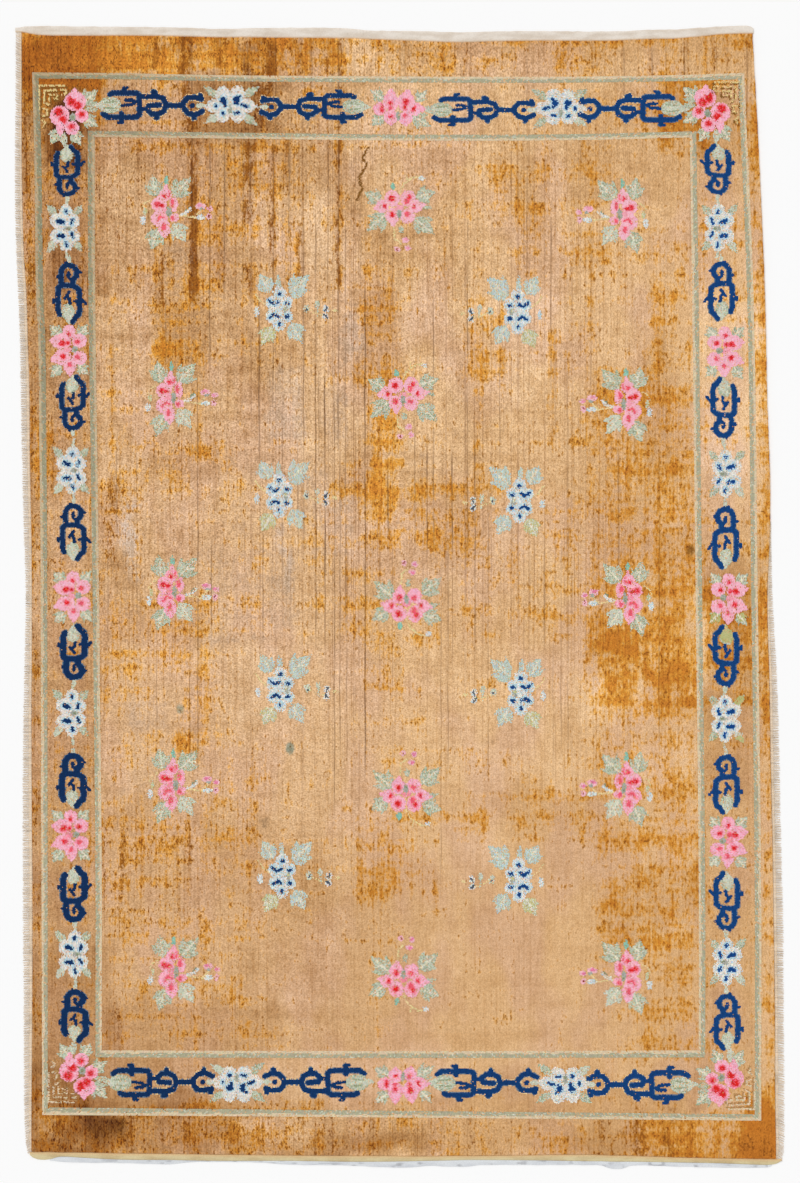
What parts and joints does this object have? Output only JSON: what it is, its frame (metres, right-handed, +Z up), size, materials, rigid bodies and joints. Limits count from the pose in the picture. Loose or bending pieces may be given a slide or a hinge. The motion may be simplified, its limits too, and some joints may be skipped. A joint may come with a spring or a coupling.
{
  "type": "hand-knotted silk rug",
  "caption": "Flat rectangular knotted pile rug with woven end bands, a pale edge tape and short warp fringes on its sides.",
  "frame": {"origin": "on the floor in the middle of the rug, at the underside of its bounding box", "axes": "+X across the rug to its partly fringed side, +Y along its length to the upper woven band, +Z up through the pile"},
  "size_m": [1.8716, 2.777, 0.005],
  "materials": {
    "silk_pile": "worn golden-tan silk pile with a soft sheen, patterned in navy, pink, pale blue and grey-green",
    "woven_band": "matt flat-woven cream cotton",
    "edge_tape": "matt whitish woven tape",
    "fringe": "fine cream warp threads, greyer at their tips"
  },
  "bodies": {
    "root": {"silk_pile": "silk_pile", "upper_band": "woven_band", "lower_band": "woven_band", "lower_tape": "edge_tape", "left_fringe": "fringe", "right_fringe": "fringe"}
  },
  "joints": []
}
